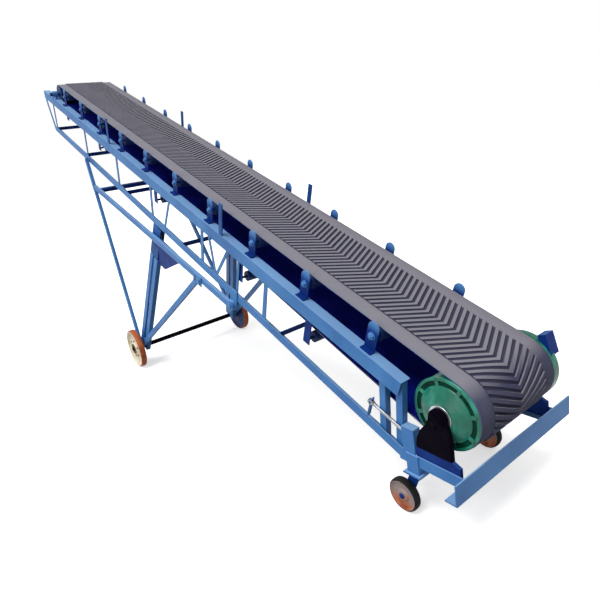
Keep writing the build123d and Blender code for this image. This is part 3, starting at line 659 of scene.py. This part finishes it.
def road_dish(name, wheel, out, half, radius):
    """A pressed dish in place of a road wheel's rim, with an iron hub and a dark back; the back's dark blue
    is painted shade.
    """
    mesh = bmesh.new()
    profile = scaled(DISH_FACE + DISH_HUB + DISH_BACK + DISH_SEAT, half, radius)
    faces = turned(mesh, wheel, out, profile, ROAD_STEPS, ring=True)
    # the back faces take the dark blue of painted shade, the hub faces the brown iron that is partly painted
    # shade
    for finish, (first, last) in ((1, SHADE_BACK_ROWS), (2, HUB_ROWS)):
        for face in faces[first * ROAD_STEPS:last * ROAD_STEPS]:
            face.material_index = finish
    finishes = (CREAM_ENAMEL, DARK_ENAMEL, HUB_IRON)
    dish = piece("road_dish_" + name, mesh, "road_wheel_" + name, finishes, smooth=40)
    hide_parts("road_rim_" + name)


def road_fasteners(name, wheel, out, half, radius):
    """The dish's bolts, and the nut on the axle's end."""
    mesh = bmesh.new()
    for spoke in spokes(out, DISH_BOLTS):
        hex_bolt(mesh, wheel + spoke * radius * DISH_BOLT_R + out * half * DISH_BOLT_SEAT, out, DISH_BOLT)
    piece("road_wheel_bolts_" + name, mesh, "road_wheel_" + name, (HUB_IRON,))
    mesh = bmesh.new()
    axle = centre_of("wheel_axle") + out * (outer_y("wheel_axle") - AXLE_NUT_IN)
    hex_bolt(mesh, axle, out, AXLE_NUT)
    piece("axle_nut_" + name, mesh, "wheel_frame", (HUB_IRON,))


for name, side in NAMED_SIDES:
    road_wheel = (name, centre_of("road_tyre_" + name), ACROSS * side, *wheel_size("road_tyre_" + name))
    road_tread(*road_wheel)
    road_dish(*road_wheel)
    road_fasteners(*road_wheel)

# casters: rounded tyre and dished web, as shares of the wheel's half width and radius
CASTER_STEPS = 56
CASTER_TREAD = ((-1, 0.89), (-1, 0.93), (-0.8, 0.98), (-0.4, 1), (0.4, 1), (0.8, 0.98), (1, 0.93), (1, 0.89))
WEB_BACK = ((-1, 0.12), (-1, 0.30), (-0.55, 0.42), (-0.6, 0.76), (-1, 0.85), (-1, 0.90))
WEB_FRONT = tuple((-reach, high) for reach, high in reversed(WEB_BACK))


def caster_wheel(name):
    """A caster's tyre and web."""
    body = "caster_wheel_" + name
    wheel = centre_of("caster_tyre_" + name)
    half, radius = wheel_size("caster_tyre_" + name)
    mesh = bmesh.new()
    turned(mesh, wheel, ACROSS, scaled(CASTER_TREAD, half, radius), CASTER_STEPS, ring=True)
    tread = piece("caster_tread_" + name, mesh, body, (BLACK_RUBBER,), smooth=40)
    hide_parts("caster_tyre_" + name)
    mesh = bmesh.new()
    turned(mesh, wheel, ACROSS, scaled(WEB_BACK + WEB_FRONT, half, radius), CASTER_STEPS, ring=True)
    disc = piece("caster_web_" + name, mesh, body, (DISC_ORANGE_BELOW,), smooth=40)
    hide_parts("caster_disc_" + name)


for name, side in NAMED_SIDES:
    caster_wheel(name)

# nuts on the idlers' shafts, outside their brackets, and nuts on the pivot pins
PIN_NUT = ((0, 0.018), (0, 0.026), (0.005, 0.026), (0.007, 0.023), (0.007, 0.018))
PIN_NUT_IN = 0.008
mesh = bmesh.new()
for side in BOTH:
    for k in range(IDLERS):
        nut = truss(IDLER_U0 + k * IDLER_PITCH, side * BRACKET_OUT, IDLER_W)
        hex_bolt(mesh, nut, ACROSS * side, IDLER_NUT)
    pin_end = Vector((PIVOT.x, side * (outer_y("pivot_plates") - PIN_NUT_IN), PIVOT.z))
    turned(mesh, pin_end, ACROSS * side, PIN_NUT, HEX_SIDES, ring=True)
piece("idler_and_pivot_nuts", mesh, "truss", (BLUE_ENAMEL,))

# bolts of the head bearings' feet, in navy with painted shade
mesh = bmesh.new()
for side in BOTH:
    for way in BOTH:
        seat = truss(HEAD_U + way * BEARING_BOLT_U, side * BEARING_Y, CHORD_TOP + BEARING_FOOT)
        hex_bolt(mesh, seat, SQUARE, BEARING_BOLT)
piece("head_bearing_bolts", mesh, "truss", (SHADED_NAVY_ENAMEL,))

# bearing caps of the drum carriers, with their bolts
CARRIER_Y = outer_y("drum_carriers")
CARRIER_CAP = ((-0.004, 0.045), (0.006, 0.045), (0.010, 0.041), (0.011, 0.026), (0.014, 0.022), (0.014, 0))
CAP_STEPS = 40
CAP_BOLTS = 4
CAP_BOLT_SHIFT = 0.5
CAP_BOLT_R = 0.034
CAP_BOLT_SEAT = 0.0095
mesh = bmesh.new()
for side in BOTH:
    out = ACROSS * side
    hub = Vector((DRUM.x, side * CARRIER_Y, DRUM.z))
    turned(mesh, hub, out, CARRIER_CAP, CAP_STEPS)
    for spoke in spokes(out, CAP_BOLTS, CAP_BOLT_SHIFT):
        hex_bolt(mesh, hub + spoke * CAP_BOLT_R + out * CAP_BOLT_SEAT, out, CARRIER_BOLT)
piece("carrier_bearing_caps", mesh, "truss", (BLACK_ENAMEL,))

# drum carriers: iron castings with a slim round top, flared towards the foot
CARRIER_TOP_R = 0.054
CARRIER_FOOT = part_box("drum_carriers")[0][2] - DRUM.z
# place across, and shares of the outline's width and height there: back, front and eased front face
CARRIER_WALLS = ((0.386, 1.0, 1.0), (0.405, 1.0, 1.0), (0.412, 0.93, 0.985))


def carrier_outline():
    """Points (x, z) round a carrier from the drum's axis: foot, flared front, round top and back."""
    outline = [(-0.075, CARRIER_FOOT), (0.150, CARRIER_FOOT), (0.143, CARRIER_FOOT + 0.050)]
    outline += [(0.118, -0.104), (0.082, -0.060)]
    turns = [math.radians(turn) for turn in range(-10, 191, 10)]
    outline += [(CARRIER_TOP_R * math.cos(turn), CARRIER_TOP_R * math.sin(turn)) for turn in turns]
    return outline + [(-0.066, -0.050), (-0.074, -0.100)]


def carrier_castings():
    """Both carriers, on the frame's feet."""
    mesh = bmesh.new()
    for side in BOTH:
        rings = []
        for y, wide, high in CARRIER_WALLS:
            places = [(x * wide, (z - CARRIER_FOOT) * high + CARRIER_FOOT) for x, z in carrier_outline()]
            rings.append([mesh.verts.new((DRUM.x + x, side * y, DRUM.z + z)) for x, z in places])
        for near, far in zip(rings, rings[1:]):
            wall(mesh, near, far)
        mesh.faces.new(rings[0])
        mesh.faces.new(rings[-1])
    castings = piece("carrier_castings", mesh, "truss", (BLACK_ENAMEL,), smooth=30)
    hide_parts("drum_carriers")


carrier_castings()

# rolled thread of the take-up screws, with a nut each side of the end plate
SCREW_STEPS = 14
SCREW_TIP = (-0.001, 0.0085)
SCREW_WASHER = ((0, 0.018), (WASHER_T, 0.018))
SCREW_NUT = ((WASHER_T, 0.0165), (0.013, 0.0165), (0.015, 0.0145))


def thread_profile():
    """Root and crest of each turn of the thread."""
    ridge = ((0.25, SCREW_ROOT_R), (0.5, SCREW_CREST_R), (0.75, SCREW_CREST_R), (1, SCREW_ROOT_R))
    turns = round((SCREW_END - SCREW_START) / SCREW_LEAD)
    return [SCREW_TIP] + [(SCREW_LEAD * (k + share), radius) for k in range(turns) for share, radius in ridge]


mesh = bmesh.new()
for side in BOTH:
    turned(mesh, truss(SCREW_START, side * SCREW_Y, SCREW_W), ALONG, thread_profile(), SCREW_STEPS)
    for way in BOTH:
        seat = truss(PLATE_U + way * PLATE_HALF, side * SCREW_Y, SCREW_W)
        turned(mesh, seat, ALONG * way, SCREW_WASHER, WASHER_STEPS)
        turned(mesh, seat, ALONG * way, SCREW_NUT, HEX_SIDES)
piece("takeup_threads", mesh, "truss", (BARE_STEEL,))

# bolts through the plates that join braces and rails
JOINT = centre_of("joint_plates")
JOINT_BOLT_Y = outer_y("joint_plates") - 0.0015
JOINT_BOLT_U = 0.042
JOINT_BOLT_ROWS = (-0.016, 0.012)
mesh = bmesh.new()
for side in BOTH:
    for way in BOTH:
        for rise in JOINT_BOLT_ROWS:
            middle = Vector((JOINT.x, side * JOINT_BOLT_Y, JOINT.z))
            hex_bolt(mesh, middle + ALONG * way * JOINT_BOLT_U + SQUARE * rise, ACROSS * side, PLATE_BOLT)
piece("joint_plate_bolts", mesh, "wheel_frame", (BLUE_ENAMEL,))

# nuts on the casters' axles, in navy with painted shade
CASTER_NUT_IN = 0.009


def caster_axle_nut(name, side):
    """The nut on the outer arm of a caster's fork."""
    wheel = centre_of("caster_tyre_" + name)
    lo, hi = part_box("caster_fork_" + name)
    tip = hi[1] if side > 0 else lo[1]
    mesh = bmesh.new()
    hex_bolt(mesh, Vector((wheel.x, tip - side * CASTER_NUT_IN, wheel.z)), ACROSS * side, CASTER_NUT)
    piece("caster_axle_nut_" + name, mesh, "caster_" + name, (SHADED_NAVY_ENAMEL,))


for name, side in NAMED_SIDES:
    caster_axle_nut(name, side)


# studio: a pale floor, which is white to the eye and keeps the shadow, and soft even light
FLOOR_REACH = 300
FLOOR_DROP = 0.001
FLOOR_GLOW = 0.5
SKY_LIGHT = 0.48
SKY_SEEN = 1.0


def seen_rays(tree):
    """One for what the eye sees directly, mirrored or through a clear thing, and nought for plain light."""
    path = add(tree, "ShaderNodeLightPath")
    mirrored = add(tree, "ShaderNodeMath", [(0, path, "Is Camera Ray"), (1, path, "Is Glossy Ray")],
                   operation="ADD")
    return add(tree, "ShaderNodeMath", [(0, mirrored, "Value"), (1, path, "Is Transmission Ray")],
               operation="ADD", use_clamp=True)


def pale_floor_paint():
    """Matt pale paint on a studio floor: white where it is seen, grey in the light that it throws back."""
    made = bpy.data.materials.new("pale_studio_floor")
    made.use_nodes = True
    tree = made.node_tree
    shader = tree.nodes["Principled BSDF"]
    shader.inputs["Roughness"].default_value = 0.9
    shader.inputs["Specular IOR Level"].default_value = 0.0
    shader.inputs["Emission Color"].default_value = linear("#ffffff")
    seen = seen_rays(tree)
    tone = add(tree, "ShaderNodeMix", [("Factor", seen, "Value")],
               data_type="RGBA", in_A=linear("#6a6a6a"), in_B=linear("#f6f6f6"))
    glow = add(tree, "ShaderNodeMapRange", [("Value", seen, "Value")], in_To_Max=FLOOR_GLOW)
    tree.links.new(tone.outputs["Result"], shader.inputs["Base Color"])
    tree.links.new(glow.outputs["Result"], shader.inputs["Emission Strength"])
    return made


def studio_floor():
    """One wide flat sheet just under the wheels."""
    corners = ((-1, -1), (1, -1), (1, 1), (-1, 1))
    data = bpy.data.meshes.new("studio_floor")
    data.from_pydata([(x * FLOOR_REACH, y * FLOOR_REACH, 0) for x, y in corners], [], [(0, 1, 2, 3)])
    data.materials.append(pale_floor_paint())
    floor = bpy.data.objects.new("studio_floor", data)
    floor.location.z = -FLOOR_DROP
    bpy.context.scene.collection.objects.link(floor)


def studio_world():
    """Even white light from all round, at full white where it is seen."""
    world = bpy.data.worlds.new("studio")
    bpy.context.scene.world = world
    world.use_nodes = True
    tree = world.node_tree
    sky = tree.nodes["Background"]
    sky.inputs["Color"].default_value = linear("#ffffff")
    level = add(tree, "ShaderNodeMapRange", [("Value", seen_rays(tree), "Value")],
                in_To_Min=SKY_LIGHT, in_To_Max=SKY_SEEN)
    tree.links.new(level.outputs["Result"], sky.inputs["Strength"])


def sun(name, towards, angle, strength):
    """A wide soft lamp that shines in one direction."""
    data = bpy.data.lights.new(name, "SUN")
    data.angle = math.radians(angle)
    data.energy = strength
    made = bpy.data.objects.new(name, data)
    made.rotation_euler = Vector(towards).to_track_quat("-Z", "Y").to_euler()
    bpy.context.scene.collection.objects.link(made)


studio_floor()
studio_world()
sun("overhead_lamp", towards=(0.1, -0.38, -1.0), angle=30, strength=2.15)
sun("side_lamp", towards=(0.2, -0.9, -0.35), angle=40, strength=0.8)

# camera at the photograph's place
EYE = Vector((-4.3407, 2.0364, 2.0129))
LOOK = Vector((0.79102, -0.54076, -0.28611)).normalized()
TOP = Vector((0.14249, -0.29195, 0.94576)).normalized()
lens = bpy.data.cameras.new("photo_camera")
lens.sensor_width = 36
lens.lens = 29.475
lens.clip_end = 200
camera = bpy.data.objects.new("photo_camera", lens)
right = LOOK.cross(TOP).normalized()
turn = Matrix((right, right.cross(LOOK), -LOOK)).transposed().to_4x4()
camera.matrix_world = Matrix.Translation(EYE) @ turn
bpy.context.scene.collection.objects.link(camera)
bpy.context.scene.camera = camera
bpy.context.scene.view_settings.view_transform = "Standard"
